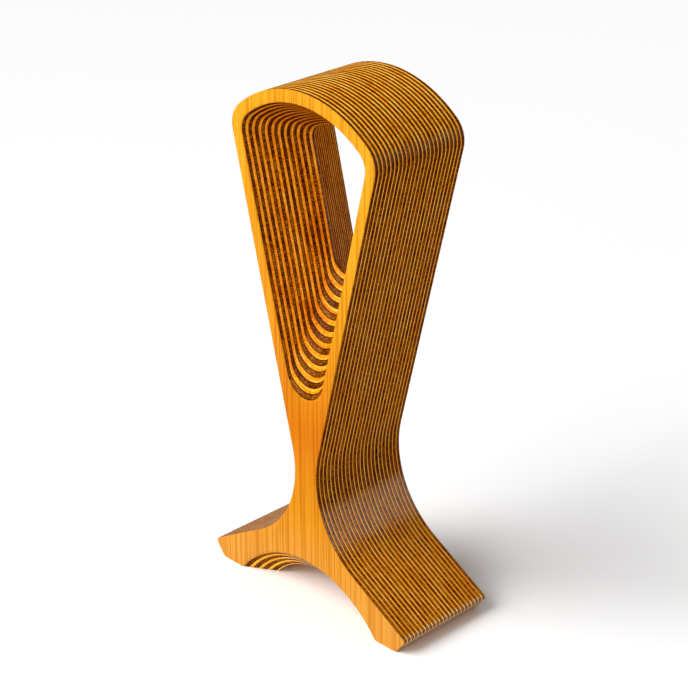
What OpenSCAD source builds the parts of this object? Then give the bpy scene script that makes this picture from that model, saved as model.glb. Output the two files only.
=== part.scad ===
// Headphone stand: a stack of plywood sheets with one outline, glued face to face.
// The loop that carries the headband narrows towards mid-depth like an hourglass,
// and the arch between the feet is flared at the front and at the back.
// X runs left to right, Y front to back and Z up, and the floor is Z = 0.

/* [Stack] */
// Number of sheets in the stack, odd so that one of them is in the middle
sheet_count = 23; // [19:2:27]
// Thickness of one sheet
sheet_t = 2.8; // [2.4:0.1:3.2]

/* [Outline] */
// Overall height
stand_h = 297; // [289:1:305]
// Radius of the crown that the headband lies on
crown_r = 72.5; // [69.5:0.5:75.5]
// Radius of the shoulders at the two ends of the crown
shoulder_r = 15; // [12.5:0.5:16.5]
// Lean of the loop's straight sides from the vertical, in degrees
side_lean = 13.8; // [13.4:0.1:14.2]
// Width of the waist at its narrowest
waist_w = 16.5; // [14.5:0.5:19.5]
// Height of the waist's narrowest place
waist_z = 81; // [78:1:84]
// Radius of the hollow curve that runs from the sides to the feet
waist_r = 56.5; // [54.5:0.5:59.5]
// Slope of the feet's upper faces below the horizontal, in degrees
foot_slope = 30; // [29:0.2:31]
// Width across the tips of the feet, before they are rounded
foot_span = 152; // [148.5:0.5:155.5]
// Width across the feet at the floor, before their corners are rounded
sole_span = 138; // [134.5:0.5:140.5]
// Rounding of the tips of the feet
tip_r = 1.8; // [0.8:0.2:2.4]
// Rounding from the end faces of the feet to the soles
heel_r = 5; // [3:0.5:6]

/* [Loop hole] */
// Thickness of the loop's sides at the front and back faces
wall_face = 6.4; // [5.8:0.1:7.6]
// Thickness of the loop's sides at mid-depth, before the neck is rounded
wall_mid = 25.2; // [20:0.1:25.6]
// Thickness of the crown at the front and back faces
crown_face = 6.7; // [6:0.1:8]
// Thickness of the crown at mid-depth, before the neck is rounded
crown_mid = 26; // [20:0.5:28]
// Height of the hole's lowest point at the front and back faces
hole_z_face = 125.5; // [122.5:0.5:128.5]
// Height of the hole's lowest point at mid-depth, before the neck is rounded
hole_z_mid = 191; // [189:1:197]
// Radius of the hole's upper corners at the front and back faces
hole_corner_face = 11.5; // [8:0.5:12.5]
// Radius of the hole's upper corners at mid-depth
hole_corner_mid = 7; // [5:0.5:8]

/* [Arch] */
// Width of the arch at the floor, on the front and back faces
arch_w_face = 107.5; // [104.5:0.5:110.5]
// Height of the arch on the front and back faces
arch_h_face = 27; // [25:0.5:29]
// Width of the arch at the floor, between the flared ends
arch_w_mid = 71; // [66:1:76]
// Height of the arch between the flared ends
arch_h_mid = 16; // [14:0.5:18]
// Number of sheets that each flared end of the arch is deep
flare_sheets = 4; // [3:1:5]
// Rounding from the soles into the arch
arch_edge_r = 2; // [1:0.5:3]

/* [Hidden] */
depth = sheet_count * sheet_t;
middle_sheet = (sheet_count + 1) / 2;
neck_half = sheet_t / 2;  // the neck is rounded over the middle sheet's thickness
past = 0.5;      // how far a cutter runs past the faces of its sheet
crown_steps = 12;
corner_steps = 7;
bottom_steps = 14;
neck_steps = 4;
waist_steps = 20;
arch_steps = 12;
edge_steps = 4;

function sheet_name(i) =
    i == 1 ? "front_sheet"
    : i == sheet_count ? "back_sheet"
    : str("sheet_", i < 10 ? "0" : "", i);

// ---- Flat geometry: every profile is symmetrical, and is worked out on its right half ----

function mix(a, b, s) = a + (b - a) * s;
function mirrored(points) = [for (i = [len(points) - 1 : -1 : 0]) [-points[i][0], points[i][1]]];
function arc(centre, r, from, to, steps) =
    [for (i = [0 : steps]) let (a = mix(from, to, i / steps)) centre + r * [cos(a), sin(a)]];

crown_c = [0, stand_h - crown_r];
waist_c = [waist_w / 2 + waist_r, waist_z];
side_up = [sin(side_lean), cos(side_lean)];
side_out = [cos(side_lean), -sin(side_lean)];
side_foot = waist_c - waist_r * side_out;

// Distance from the centre line, at height z, out to the straight side
function side_gap(z) = (side_foot - [0, z]) * side_out;

// Centre of a corner of radius r between a crown arc of radius big_r and a side moved in by inset
function corner_centre(inset, big_r, r) =
    let (across = side_gap(crown_c[1]) - inset - r)
    crown_c + across * side_out + sqrt((big_r - r) ^ 2 - across ^ 2) * side_up;

// Corner and crown, from the end of the straight side to the centre line
function top_points(inset, big_r, r) =
    let (
        c = corner_centre(inset, big_r, r),
        turn = atan2(c[1] - crown_c[1], c[0])
    )
    concat(
        arc(c, r, -side_lean, turn, corner_steps),
        [for (i = [1 : crown_steps]) arc(crown_c, big_r, turn, 90, crown_steps)[i]]
    );

// The foot: upper face, end face between the tip and the sole, and their roundings
foot_dir = [cos(foot_slope), -sin(foot_slope)];
foot_top = waist_c - waist_r * [sin(foot_slope), cos(foot_slope)];
tip = foot_top + foot_dir * (foot_span / 2 - foot_top[0]) / foot_dir[0];
sole_end = [sole_span / 2, 0];
end_lean = atan2(tip[0] - sole_end[0], tip[1]);

// Centre of a rounding of radius r in a corner, given the directions of the two sides that leave it
function rounding_centre(corner, dir_a, dir_b, r) =
    corner + (dir_a + dir_b) / norm(dir_a + dir_b) * r / sin(acos(dir_a * dir_b) / 2);

tip_c = rounding_centre(tip, -foot_dir, (sole_end - tip) / norm(sole_end - tip), tip_r);
heel_c = rounding_centre(sole_end, [-1, 0], (tip - sole_end) / norm(tip - sole_end), heel_r);

outline_half = concat(
    arc(heel_c, heel_r, -90, -end_lean, edge_steps),
    arc(tip_c, tip_r, -end_lean, 90 - foot_slope, edge_steps),
    arc(waist_c, waist_r, 270 - foot_slope, 180 - side_lean, waist_steps),
    top_points(0, crown_r, shoulder_r)
);
outline = concat(outline_half, mirrored([for (i = [0 : len(outline_half) - 2]) outline_half[i]]));

// The loop's hole, where s is 0 on the front and back faces and 1 at mid-depth
function hole(s) =
    let (
        inset = mix(wall_face, wall_mid, s),
        low = mix(hole_z_face, hole_z_mid, s),
        r = (side_gap(low) - inset) / (1 - sin(side_lean)),
        right = concat(
            arc([0, low + r], r, -90, -side_lean, bottom_steps / 2),
            top_points(inset, crown_r - mix(crown_face, crown_mid, s),
                       mix(hole_corner_face, hole_corner_mid, s))
        )
    )
    concat(right, mirrored([for (i = [1 : len(right) - 2]) right[i]]));

// The arch with its rounded lower edges, where s is 0 on the faces and 1 between the flares
function arch(s) =
    let (
        w = mix(arch_w_face, arch_w_mid, s) / 2,
        h = mix(arch_h_face, arch_h_mid, s),
        r = (w ^ 2 + h ^ 2) / (2 * h),
        rise = arch_edge_r - (h - r),
        edge_x = sqrt((r + arch_edge_r) ^ 2 - rise ^ 2),
        turn = atan2(rise, edge_x),
        right = concat(
            [[edge_x, -past]],
            arc([edge_x, arch_edge_r], arch_edge_r, 270, 180 + turn, edge_steps),
            [for (i = [1 : arch_steps]) arc([0, h - r], r, turn, 90, arch_steps)[i]]
        )
    )
    concat(right, mirrored([for (i = [0 : len(right) - 2]) right[i]]));

// ---- Solids ----

// Depth of the joint behind sheet i, so that joint 0 is the front face
function joint_y(i) = i * sheet_t - depth / 2;
// How far the arch has narrowed at joint i
function arch_s(i) = min(1, i / flare_sheets, (sheet_count - i) / flare_sheets);
// How far the hole has narrowed at depth y: evenly, and then by a parabola over the rounded neck
function hole_s(y) =
    let (gap = abs(y) < neck_half ? (neck_half + y ^ 2 / neck_half) / 2 : abs(y))
    1 - gap / (depth / 2);

// Solid through profiles of equal length, one at each depth in ys
module skin(profiles, ys) {
    n = len(profiles[0]);
    last = len(ys) - 1;
    polyhedron(
        points = [for (k = [0 : last]) for (p = profiles[k]) [p[0], ys[k], p[1]]],
        faces = concat(
            [[for (j = [n - 1 : -1 : 0]) j]],
            [for (k = [0 : last - 1]) for (j = [0 : n - 1])
                [k * n + j, k * n + (j + 1) % n, (k + 1) * n + j]],
            [for (k = [0 : last - 1]) for (j = [0 : n - 1])
                [k * n + (j + 1) % n, (k + 1) * n + (j + 1) % n, (k + 1) * n + j]],
            [[for (j = [0 : n - 1]) last * n + j]]
        )
    );
}

// The hole's share of sheet i, with extra profiles where the neck is rounded
module hole_cutter(i) {
    neck = i == middle_sheet ? [for (k = [-neck_steps : neck_steps]) neck_half * k / neck_steps] : [];
    ys = concat([joint_y(i - 1) - past], neck, [joint_y(i) + past]);
    skin([for (y = ys) hole(hole_s(y))], ys);
}

// The arch's share of sheet i
module arch_cutter(i) {
    step = (arch_s(i) - arch_s(i - 1)) * past / sheet_t;
    skin([arch(arch_s(i - 1) - step), arch(arch_s(i) + step)],
         [joint_y(i - 1) - past, joint_y(i) + past]);
}

module sheet(i) {
    face = i == 1 || i == sheet_count;
    color(face ? [0.96, 0.62, 0.16] : [0.66, 0.38, 0.12])
        difference() {
            translate([0, joint_y(i), 0])
                rotate([90, 0, 0])
                    linear_extrude(sheet_t)
                        polygon(outline);
            hole_cutter(i);
            arch_cutter(i);
        }
}

for (i = [1 : sheet_count])
    sheet(i);
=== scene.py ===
"""Headphone stand of 3-ply sheets glued face to face, with a gloss varnish, in a plain studio."""
import math

import bmesh
import bpy
from mathutils import Matrix, Vector


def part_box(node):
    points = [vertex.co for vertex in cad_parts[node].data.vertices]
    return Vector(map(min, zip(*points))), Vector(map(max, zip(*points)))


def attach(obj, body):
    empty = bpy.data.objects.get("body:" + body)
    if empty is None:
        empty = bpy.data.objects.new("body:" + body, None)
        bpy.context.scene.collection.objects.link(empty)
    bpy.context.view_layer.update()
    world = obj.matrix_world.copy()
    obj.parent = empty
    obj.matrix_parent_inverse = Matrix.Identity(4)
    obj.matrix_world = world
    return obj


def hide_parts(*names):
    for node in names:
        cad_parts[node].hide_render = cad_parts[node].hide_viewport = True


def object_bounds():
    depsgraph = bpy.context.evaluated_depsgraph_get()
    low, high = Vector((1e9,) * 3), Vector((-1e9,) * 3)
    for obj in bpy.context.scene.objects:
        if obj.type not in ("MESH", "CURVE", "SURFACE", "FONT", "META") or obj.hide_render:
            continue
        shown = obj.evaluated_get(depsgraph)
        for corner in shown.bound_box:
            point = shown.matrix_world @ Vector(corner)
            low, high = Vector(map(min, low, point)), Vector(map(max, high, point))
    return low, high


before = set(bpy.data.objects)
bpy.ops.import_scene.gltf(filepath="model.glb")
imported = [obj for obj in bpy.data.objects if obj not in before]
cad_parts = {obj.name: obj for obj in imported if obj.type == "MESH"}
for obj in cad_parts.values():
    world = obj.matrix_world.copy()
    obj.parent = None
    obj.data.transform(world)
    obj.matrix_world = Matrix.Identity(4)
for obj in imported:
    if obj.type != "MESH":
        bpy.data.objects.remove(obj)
cad_low, cad_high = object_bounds()

MM = 0.001
MIDDLE = (cad_low + cad_high) / 2

# The sheets in order from the front, and the thickness that they all share
SHEETS = sorted(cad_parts, key=lambda name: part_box(name)[0].y)
SHEET_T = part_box(SHEETS[0])[1].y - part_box(SHEETS[0])[0].y

# One sheet: a dark core between two light veneers
VENEER_T = 0.22 * SHEET_T       # each veneer's share
CORE_SINK = 0.07 * MM           # how far sanding has worn the softer core below the veneers
GLUE_T = 0.24 * MM              # the dark glue line beside each veneer, where the core falls away
RIM_ROUND = 0.45 * MM           # rounding along the rims of the front and back faces
RIM_SEGMENTS = 3

# Limits for cleaning up and shading the mesh
WELD = 0.002 * MM               # points that are closer are one point
FLAT = math.radians(0.8)        # faces that differ by less are one face
SMOOTH = math.radians(28)       # edges that turn by less are shaded smooth
SQUARE_ON = 0.99                # a front or back face's normal has at least this much along Y

# Material slots of a sheet's mesh
FACE, OUTER_VENEER, OUTER_CORE, HOLE_VENEER, HOLE_CORE, GLUE = range(6)


def height(share):
    """The height at a share of the way up from the floor to the top of the stand."""
    return cad_low.z + share * (cad_high.z - cad_low.z)


# The loop's hole lies round this height, and above the waist
HOLE_MIDDLE = Vector((0, 0, height(0.74)))
WAIST_TOP = height(0.4)

# Bands of height over which a material changes from one look to another
FOOT_BAND = height(0.05), height(0.185)         # the face's paler feet end here
WAIST_BAND = height(0.168), height(0.556)       # the face is reddest in the middle of this
LOOP_BAND = height(0.438), height(0.808)        # the face grows yellower on the way up
# Under the arch's roof the veneer lines are widened as a painted bounce light from the floor
ARCH_BAND = height(0.094), height(0.108)        # the arch's roof is below this
RUBBED_BAND = height(0.707), height(0.859)      # the varnish grows thinner on the way up
WIDE_BAND = height(0.741), height(0.909)        # the light lines grow wider on the way up
# The cores' darkening over the crown band is painted shade
CROWN_BAND = height(0.842), height(0.96)        # the cores grow darker on the way up

# The tips of the feet, where the painted highlight lies, by their distance from the middle of the stand
TIP_BAND = cad_high.x - 1.9 * MM, cad_high.x - 0.9 * MM

# Nearly all of a noise pattern's values lie between these
NOISE_BAND = 0.3, 0.7

# Layer Weight's facing value, from a surface that is seen obliquely to one seen nearly edge on
EDGE_ON_BAND = 0.72, 0.92


# ---- Materials ----

class Nodes:
    """A small helper that adds nodes to a material and joins them up."""

    def __init__(self, name):
        self.material = bpy.data.materials.new(name)
        self.material.use_nodes = True
        self.tree = self.material.node_tree
        self.shader = self.tree.nodes["Principled BSDF"]

    def add(self, kind, **values):
        """A node with those settings and inputs."""
        node = self.tree.nodes.new("ShaderNode" + kind)
        for key, value in values.items():
            if hasattr(node, key):
                setattr(node, key, value)
            else:
                self.feed(node.inputs[key], value)
        return node

    def feed(self, socket, value):
        """Links an output to the socket, or sets a plain value or a colour on it."""
        if isinstance(value, bpy.types.NodeSocket):
            self.tree.links.new(value, socket)
        elif socket.type == "RGBA":
            socket.default_value = (*value, 1.0)
        else:
            socket.default_value = value

    def math(self, operation, a, b=0.0, c=0.0):
        node = self.add("Math", operation=operation)
        for socket, value in zip(node.inputs, (a, b, c)):
            self.feed(socket, value)
        return node.outputs[0]

    def span(self, value, low, high, to_low=0.0, to_high=1.0):
        """Maps a value between low and high to one between to_low and to_high, and no further."""
        node = self.add("MapRange", clamp=True)
        for key, number in zip(("Value", "From Min", "From Max", "To Min", "To Max"),
                               (value, low, high, to_low, to_high)):
            self.feed(node.inputs[key], number)
        return node.outputs["Result"]

    def varied(self, base, pattern, strength):
        """A value moved up and down by a pattern from 0 to 1."""
        return self.math("MULTIPLY_ADD", self.math("SUBTRACT", pattern, 0.5), strength, base)

    def place(self):
        """The point on the surface, in metres in the stand's own frame."""
        return self.add("TexCoord").outputs["Object"]

    def at(self, axis):
        """The surface's place along one axis, in metres."""
        return self.add("SeparateXYZ", Vector=self.place()).outputs[axis]

    def sheets_back(self):
        """How far back the surface is from the front face, in thicknesses of a sheet."""
        return self.math("DIVIDE", self.math("SUBTRACT", self.at("Y"), cad_low.y), SHEET_T)

    def from_joint(self):
        """Distance to the nearest joint between sheets, as a share of a sheet's thickness."""
        return self.math("PINGPONG", self.sheets_back(), 0.5)

    def upward(self):
        """How far the surface faces up: 1 for straight up and -1 for straight down."""
        normal = self.add("TexCoord").outputs["Normal"]
        return self.add("SeparateXYZ", Vector=normal).outputs["Z"]

    def grain(self, cycles, detail=3.0, roughness=0.5, shift=0.0, own=True):
        """Noise with that many cycles a metre along X, Y and Z, different on each sheet if own."""
        scaled = self.add("VectorMath", operation="MULTIPLY")
        self.feed(scaled.inputs[0], self.place())
        self.feed(scaled.inputs[1], cycles)
        moved = self.add("VectorMath", operation="ADD")
        self.feed(moved.inputs[0], scaled.outputs[0])
        step = shift
        if own:
            step = self.math("MULTIPLY_ADD", self.math("FLOOR", self.sheets_back()), 17.3, shift)
        self.feed(moved.inputs[1], self.add("CombineXYZ", X=step, Y=step, Z=step).outputs[0])
        noise = self.add("TexNoise", noise_dimensions="3D", Vector=moved.outputs[0], Scale=1.0,
                         Detail=detail, Roughness=roughness)
        return noise.outputs["Fac"]

    def ramp(self, factor, places, colours):
        """A colour ramp with the colours at those places from 0 to 1."""
        node = self.add("ValToRGB", Fac=factor)
        elements = node.color_ramp.elements
        while len(elements) < len(places):
            elements.new(0.5)
        for element, at, colour in zip(elements, places, colours):
            element.position = at
            element.color = (*colour, 1.0)
        return node.outputs["Color"]

    def mix(self, factor, a, b, blend="MIX"):
        """Two colours mixed, with b's share as the factor."""
        node = self.add("Mix", data_type="RGBA", blend_type=blend)
        self.feed(node.inputs["Factor"], factor)
        self.feed(node.inputs[6], a)
        self.feed(node.inputs[7], b)
        return node.outputs[2]

    def skimmed(self, weight, edge_on, pattern):
        """A varnish weight that grows to edge_on where the surface is seen at a low angle.

        It is patchy with a pattern from 0 to 1, and the headband has rubbed most of the varnish
        off the top of the loop.
        """
        gloss = self.span(self.add("LayerWeight").outputs["Facing"], *EDGE_ON_BAND, weight, edge_on)
        patchy = self.math("MULTIPLY", gloss, self.span(pattern, *NOISE_BAND, 0.82, 1.1))
        return self.math("MULTIPLY", patchy, self.span(self.at("Z"), *RUBBED_BAND, 1.0, 0.2))

    def varnished(self, colour, relief, depth, coat, roughness=0.2):
        """Matt wood with a relief of that depth, under a gloss varnish of weight coat."""
        bump = self.add("Bump", Strength=1.0, Distance=depth, Height=relief)
        inputs = {"Base Color": colour, "Normal": bump.outputs["Normal"], "Specular IOR Level": 0.0,
                  "Coat Weight": coat, "Coat Roughness": roughness, "Coat IOR": 1.45}
        for key, value in inputs.items():
            self.feed(self.shader.inputs[key], value)
        return self.material


def face_veneer():
    """Rotary-cut veneer seen flat: fine upright grain, a darker, redder waist and rosy, cloudy feet."""
    honey, golden = (0.555, 0.22, 0.009), (0.64, 0.285, 0.013)
    russet, rosy, sandy = (0.48, 0.106, 0.002), (0.60, 0.19, 0.02), (0.58, 0.27, 0.05)
    n = Nodes("face_veneer")
    pores = n.grain((800, 40, 6), detail=2, roughness=0.6, own=False)
    streaks = n.grain((210, 40, 7), detail=3, shift=5, own=False)
    clouds = n.grain((26, 20, 13), detail=2, shift=11, own=False)
    z = n.at("Z")
    waist = n.math("SUBTRACT", 1.0, n.math("ABSOLUTE", n.span(z, *WAIST_BAND, -1.0, 1.0)))
    wood = n.mix(n.span(z, *LOOP_BAND), honey, golden)
    wood = n.mix(n.math("MULTIPLY", waist, 0.7), wood, russet)
    wood = n.mix(n.span(clouds, 0.45, 0.75, 0.0, 0.4), wood, rosy)
    wood = n.mix(n.span(z, *FOOT_BAND, 0.7, 0.0), wood, sandy)
    tone = n.varied(n.math("MULTIPLY_ADD", streaks, 0.5, 0.25), pores, 3.6)
    fibres = n.ramp(tone, (0.20, 0.50, 0.80),
                    ((0.80, 0.66, 0.45), (0.95, 0.92, 0.85), (1.0, 1.0, 1.0)))
    return n.varnished(n.mix(1.0, wood, fibres, blend="MULTIPLY"), pores, 0.02 * MM,
                       coat=n.span(streaks, *NOISE_BAND, 0.09, 0.07))


def paint_tip_highlight(n, colour, pale):
    """Pales a colour on the very tips of the feet: a painted highlight."""
    away = n.math("ABSOLUTE", n.at("X"))
    return n.mix(n.span(away, *TIP_BAND, 0.0, 0.6), colour, pale)


def veneer_edge(name, colours, upright, level, wider, painted_shade, edge_on):
    """A veneer seen on its edge: a light line beside the joint, and then a darker colour.

    The line has three colours, from dark to light. Its width is a share of the sheet's thickness:
    upright on a wall, level where the edge faces up or down, and more by the share named wider on
    top of the loop and under the arch, where the wider line is a painted bounce light from the floor.
    Painted shade is mixed in by its own share where the edge faces down, and by about a third facing
    up.
    """
    # The first colour is painted shade, the last a painted highlight for the tips of the feet
    shade_colour, inner, tip_highlight = (0.36, 0.06, 0.0005), (0.24, 0.052, 0.0008), (0.95, 0.68, 0.33)
    fade = 0.06  # how far the line takes to fade into the darker wood, in the same shares
    n = Nodes(name)
    streaks = n.grain((55, 10, 55), detail=3)
    specks = n.grain((700, 250, 700), detail=2, shift=3)
    up = n.upward()
    line = n.ramp(n.varied(streaks, specks, 0.9), (0.18, 0.50, 0.82), colours)
    # Painted shade, most where the edge faces down and about a third as much where it faces up
    below, above = n.span(up, -0.3, -0.9, 0.0, painted_shade), n.span(up, 0.3, 0.9, 0.0, 0.35 * painted_shade)
    line = paint_tip_highlight(n, n.mix(n.math("ADD", below, above), line, shade_colour), tip_highlight)
    loop_top = n.math("MULTIPLY", n.span(n.at("Z"), *WIDE_BAND), n.span(up, 0.2, 0.6))
    # Widening the line under the arch's roof is a painted bounce light from the floor
    arch_roof = n.math("MULTIPLY", n.span(n.at("Z"), *ARCH_BAND, 1.0, 0.0), n.span(up, 0.0, -0.2))
    extra = n.math("MULTIPLY", n.math("ADD", loop_top, arch_roof), wider)
    plain = n.math("MULTIPLY_ADD", n.math("ABSOLUTE", up), level - upright, upright)
    width = n.math("ADD", plain, extra)
    beyond = n.span(n.from_joint(), width, n.math("ADD", width, fade))
    return n.varnished(n.mix(beyond, line, inner), specks, 0.02 * MM,
                       coat=n.skimmed(0.1, edge_on, streaks))


def core_edge(name, upright, level, under, coat, edge_on):
    """The core seen on its end grain: brown with fine checks, and a painted shade on the crown.

    It has three colours, from dark to light, for each of three ways that it may face: sideways
    (upright), up (level) and down (under). Sideways and up differ partly as end grain and side
    grain do; the rest of the difference by facing is painted light and shade.
    """
    # The first colour is painted shade for the crown, the second a painted highlight for the tips of
    # the feet
    dark, tip_highlight = (0.06, 0.012, 0.0002), (0.34, 0.16, 0.04)
    n = Nodes(name)
    checks = n.grain((1200, 200, 1200), detail=3, roughness=0.7)
    patches = n.grain((70, 30, 70), detail=3, shift=7)
    tone = n.varied(patches, checks, 2.1)
    sideways, facing_up, facing_down = (n.ramp(tone, (0.15, 0.48, 0.85), colours)
                                        for colours in (upright, level, under))
    up = n.upward()
    wood = n.mix(n.span(up, 0.25, 0.85), sideways, facing_up)
    wood = n.mix(n.span(up, -0.3, -0.9), wood, facing_down)
    wood = n.mix(n.span(n.at("Z"), *CROWN_BAND, 0.0, 0.65), wood, dark)
    return n.varnished(paint_tip_highlight(n, wood, tip_highlight), checks, 0.04 * MM,
                       coat=n.skimmed(coat, edge_on, checks))


def outer_veneer():
    """Veneer edges all round the outside: a bright line, thin on the walls, with a painted highlight.
    """
    return veneer_edge("outer_veneer", upright=0.05, level=0.14, wider=0.08, painted_shade=0.0, edge_on=0.9,
                       # The line's colours: the veneer's light wood, brightened by a painted highlight
                       # along the joint
                       colours=((0.62, 0.14, 0.002), (0.97, 0.39, 0.02), (1.0, 0.62, 0.12)))


def outer_core():
    """Core edges all round the outside, glossy at a low angle."""
    return core_edge(
        "outer_core", coat=0.16, edge_on=0.9,
        upright=((0.012, 0.002, 0.0001), (0.125, 0.026, 0.0003), (0.32, 0.11, 0.004)),
        level=((0.05, 0.006, 0.0001), (0.27, 0.062, 0.0004), (0.54, 0.20, 0.004)),
        # Facing down, mostly under the arch: lighter, as a painted bounce light from the floor
        under=((0.08, 0.02, 0.0005), (0.30, 0.11, 0.006), (0.48, 0.22, 0.02)))


def hole_veneer():
    """Veneer edges inside the loop, with a broad line in a deeper orange."""
    # Painted shade on the edges that face down under the crown, and a little on those facing up
    return veneer_edge("hole_veneer", upright=0.21, level=0.21, wider=0.0, painted_shade=0.65, edge_on=0.2,
                       colours=((0.45, 0.08, 0.001), (0.78, 0.24, 0.005), (0.92, 0.45, 0.045)))


def hole_core():
    """Core edges inside the loop, darkest under the crown, where the darkening is painted shade."""
    return core_edge(
        "hole_core", coat=0.1, edge_on=0.3,
        upright=((0.02, 0.002, 0.0001), (0.13, 0.024, 0.0002), (0.36, 0.12, 0.003)),
        # Facing up, on the floor of the hole: greyer, as a painted reflection
        level=((0.05, 0.013, 0.0003), (0.13, 0.042, 0.001), (0.24, 0.10, 0.005)),
        # Facing down, under the crown: painted shade
        under=((0.02, 0.003, 0.0001), (0.06, 0.010, 0.0002), (0.16, 0.04, 0.001)))


def glue_line():
    """Glue and scorched fibres beside each veneer."""
    n = Nodes("glue_line")
    streaks = n.grain((300, 20, 300), detail=2)
    glue = n.ramp(streaks, NOISE_BAND, ((0.012, 0.002, 0.0001), (0.06, 0.012, 0.0003)))
    return n.varnished(glue, streaks, 0.02 * MM, coat=0.05, roughness=0.25)


# ---- Sheets ----

def weld_and_clean(bm):
    """Joins the CAD triangles into one closed mesh of plain faces."""
    bmesh.ops.remove_doubles(bm, verts=bm.verts, dist=WELD)
    bmesh.ops.dissolve_limit(bm, angle_limit=FLAT, verts=bm.verts, edges=bm.edges)


def cut_across(bm, y):
    """Adds a loop of edges where the plane at depth y crosses the mesh."""
    geometry = bm.verts[:] + bm.edges[:] + bm.faces[:]
    bmesh.ops.bisect_plane(bm, geom=geometry, dist=WELD, plane_co=(0, y, 0), plane_no=(0, 1, 0))


def is_flat_side(face):
    """True on the front or back of a sheet."""
    return abs(face.normal.y) > SQUARE_ON


def sink_core(bm, front, back):
    """Moves the core's surface in between two depths, square to the sheet's edge."""
    bm.normal_update()
    moves = []
    for vert in bm.verts:
        if front - WELD < vert.co.y < back + WELD:
            out = sum((f.normal for f in vert.link_faces if not is_flat_side(f)), Vector())
            out.y = 0
            moves.append((vert, out.normalized() * -CORE_SINK))
    for vert, move in moves:
        vert.co += move


def lines_the_hole(face):
    """True on the loop's inner surface, which faces the middle of the hole."""
    centre = face.calc_center_median()
    return centre.z > WAIST_TOP and (centre - HOLE_MIDDLE).dot(face.normal) < 0


def slot_of(face, core_front, core_back):
    """The material slot for a face of a sheet whose core lies between two depths."""
    y = face.calc_center_median().y
    if y < cad_low.y + RIM_ROUND or y > cad_high.y - RIM_ROUND:
        return FACE
    hole = lines_the_hole(face)
    if core_front + GLUE_T < y < core_back - GLUE_T:
        return HOLE_CORE if hole else OUTER_CORE
    if core_front < y < core_back:
        return GLUE
    return HOLE_VENEER if hole else OUTER_VENEER


def round_rim(bm, y):
    """Rounds the rims of the outer face at depth y."""
    rim = [e for e in bm.edges
           if all(abs(v.co.y - y) < WELD for v in e.verts)
           and sum(is_flat_side(f) for f in e.link_faces) == 1]
    bmesh.ops.bevel(bm, geom=rim, offset=RIM_ROUND, offset_type="OFFSET", segments=RIM_SEGMENTS,
                    profile=0.5, affect="EDGES", clamp_overlap=True)


def sheet_mesh(name):
    """The CAD node's mesh with the edges of its plies and their material slots."""
    low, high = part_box(name)
    core_front, core_back = low.y + VENEER_T, high.y - VENEER_T
    bm = bmesh.new()
    bm.from_mesh(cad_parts[name].data)
    weld_and_clean(bm)
    for y in (core_front, core_front + GLUE_T, core_back - GLUE_T, core_back):
        cut_across(bm, y)
    sink_core(bm, core_front + GLUE_T, core_back - GLUE_T)
    if name == SHEETS[0]:
        round_rim(bm, low.y)
    if name == SHEETS[-1]:
        round_rim(bm, high.y)
    for vert in bm.verts:
        vert.co.z = max(vert.co.z, low.z)  # the soles stay flat on the floor
    bm.normal_update()
    for face in bm.faces:
        face.material_index = slot_of(face, core_front, core_back)
        face.smooth = not is_flat_side(face)
    mesh = bpy.data.meshes.new(name + "_plies")
    bm.to_mesh(mesh)
    bm.free()
    mesh.set_sharp_from_angle(angle=SMOOTH)
    return mesh


def add_sheet(name, materials):
    """One sheet with its plies, in place of the CAD node of that name."""
    mesh = sheet_mesh(name)
    for material in materials:
        mesh.materials.append(material)
    piece = bpy.data.objects.new(name + "_plies", mesh)
    bpy.context.scene.collection.objects.link(piece)
    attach(piece, "root")
    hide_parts(name)


# ---- Studio ----

def aim(obj, place, target=MIDDLE, roll=0.0):
    """Puts obj at place, looking at target, turned by roll degrees."""
    obj.location = place
    turn = (Vector(target) - Vector(place)).to_track_quat("-Z", "Y")
    obj.rotation_mode = "QUATERNION"
    obj.rotation_quaternion = turn @ Matrix.Rotation(math.radians(roll), 4, "Z").to_quaternion()
    bpy.context.scene.collection.objects.link(obj)


def add_camera():
    """A long lens from the right of the front face, and from above."""
    azimuth, elevation = math.radians(45.69), math.radians(25.53)
    distance = 1.1098
    target = MIDDLE + Vector((-2.6, 0, -0.9)) * MM  # a little left of and below the middle
    back = Vector((math.sin(azimuth) * math.cos(elevation),
                   -math.cos(azimuth) * math.cos(elevation), math.sin(elevation)))
    camera = bpy.data.objects.new("camera", bpy.data.cameras.new("camera"))
    camera.data.sensor_width = 36
    camera.data.lens = 108.32
    aim(camera, target + back * distance, target, roll=-0.19)
    bpy.context.scene.camera = camera


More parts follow.
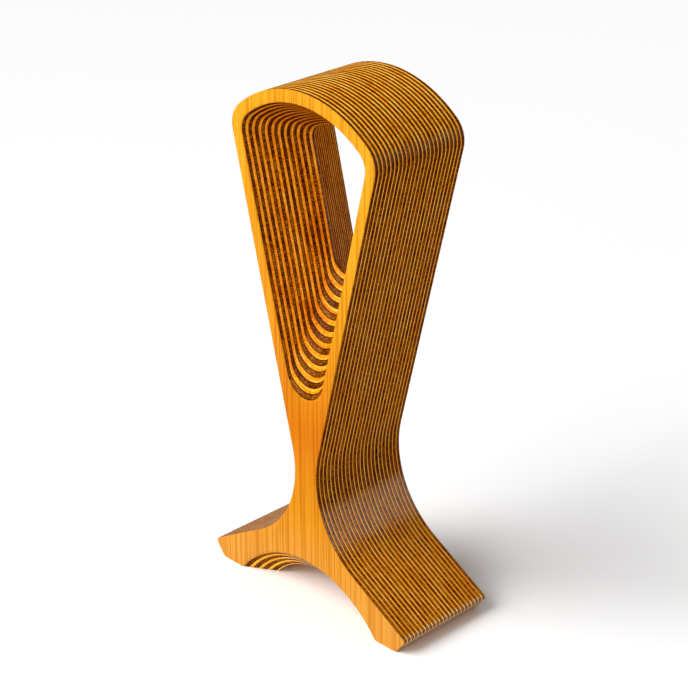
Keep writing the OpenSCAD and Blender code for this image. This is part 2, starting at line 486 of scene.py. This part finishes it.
def add_sun(name, place, power, angle):
    """A soft light from far away in the direction of a place, with an angle in degrees."""
    lamp = bpy.data.lights.new(name, "SUN")
    lamp.energy = power
    lamp.angle = math.radians(angle)
    aim(bpy.data.objects.new(name, lamp), place, target=(0, 0, 0))


def add_softbox(name, place, size, power, colour=(1, 1, 1)):
    """A square or oblong light aimed at the stand."""
    lamp = bpy.data.lights.new(name, "AREA")
    lamp.shape = "RECTANGLE"
    lamp.size, lamp.size_y = size
    lamp.energy = power
    lamp.color = colour
    box = bpy.data.objects.new(name, lamp)
    aim(box, place)
    return box


def add_world():
    """Even white light from all round."""
    world = bpy.data.worlds.new("studio")
    world.use_nodes = True
    background = world.node_tree.nodes["Background"]
    background.inputs["Color"].default_value = (1, 1, 1, 1)
    background.inputs["Strength"].default_value = 0.33
    bpy.context.scene.world = world


def add_lights():
    """A soft key light, two fill lights, and one that shows only as the varnish's sheen."""
    add_sun("key", (-0.55, -1.0, 0.95), power=3.55, angle=50)
    add_softbox("front_top", (-0.25, -0.8, 0.8), (0.5, 0.5), power=1.5)
    add_softbox("front", (0.35, -1.3, 0.6), (0.6, 0.6), power=3.5)
    sheen = add_softbox("sheen", (1.0, 0.93, 0.5), (0.6, 0.9), power=34, colour=(1.0, 0.9, 0.8))
    sheen.visible_diffuse = False


def add_floor():
    """A pale floor that runs far past the view."""
    reach = 30.0
    pale = 0.94
    mesh = bpy.data.meshes.new("floor")
    corners = [(-reach, -reach, 0), (reach, -reach, 0), (reach, reach, 0), (-reach, reach, 0)]
    mesh.from_pydata(corners, [], [(0, 1, 2, 3)])
    n = Nodes("pale_floor")
    n.feed(n.shader.inputs["Base Color"], (pale, pale, pale))
    n.feed(n.shader.inputs["Roughness"], 0.6)
    mesh.materials.append(n.material)
    floor = bpy.data.objects.new("floor", mesh)
    bpy.context.scene.collection.objects.link(floor)
    floor.visible_glossy = False


# In the order of the material slots
sheet_materials = [face_veneer(), outer_veneer(), outer_core(), hole_veneer(), hole_core(), glue_line()]
for sheet in SHEETS:
    add_sheet(sheet, sheet_materials)
add_floor()
add_world()
add_lights()
add_camera()
bpy.context.scene.view_settings.view_transform = "Standard"
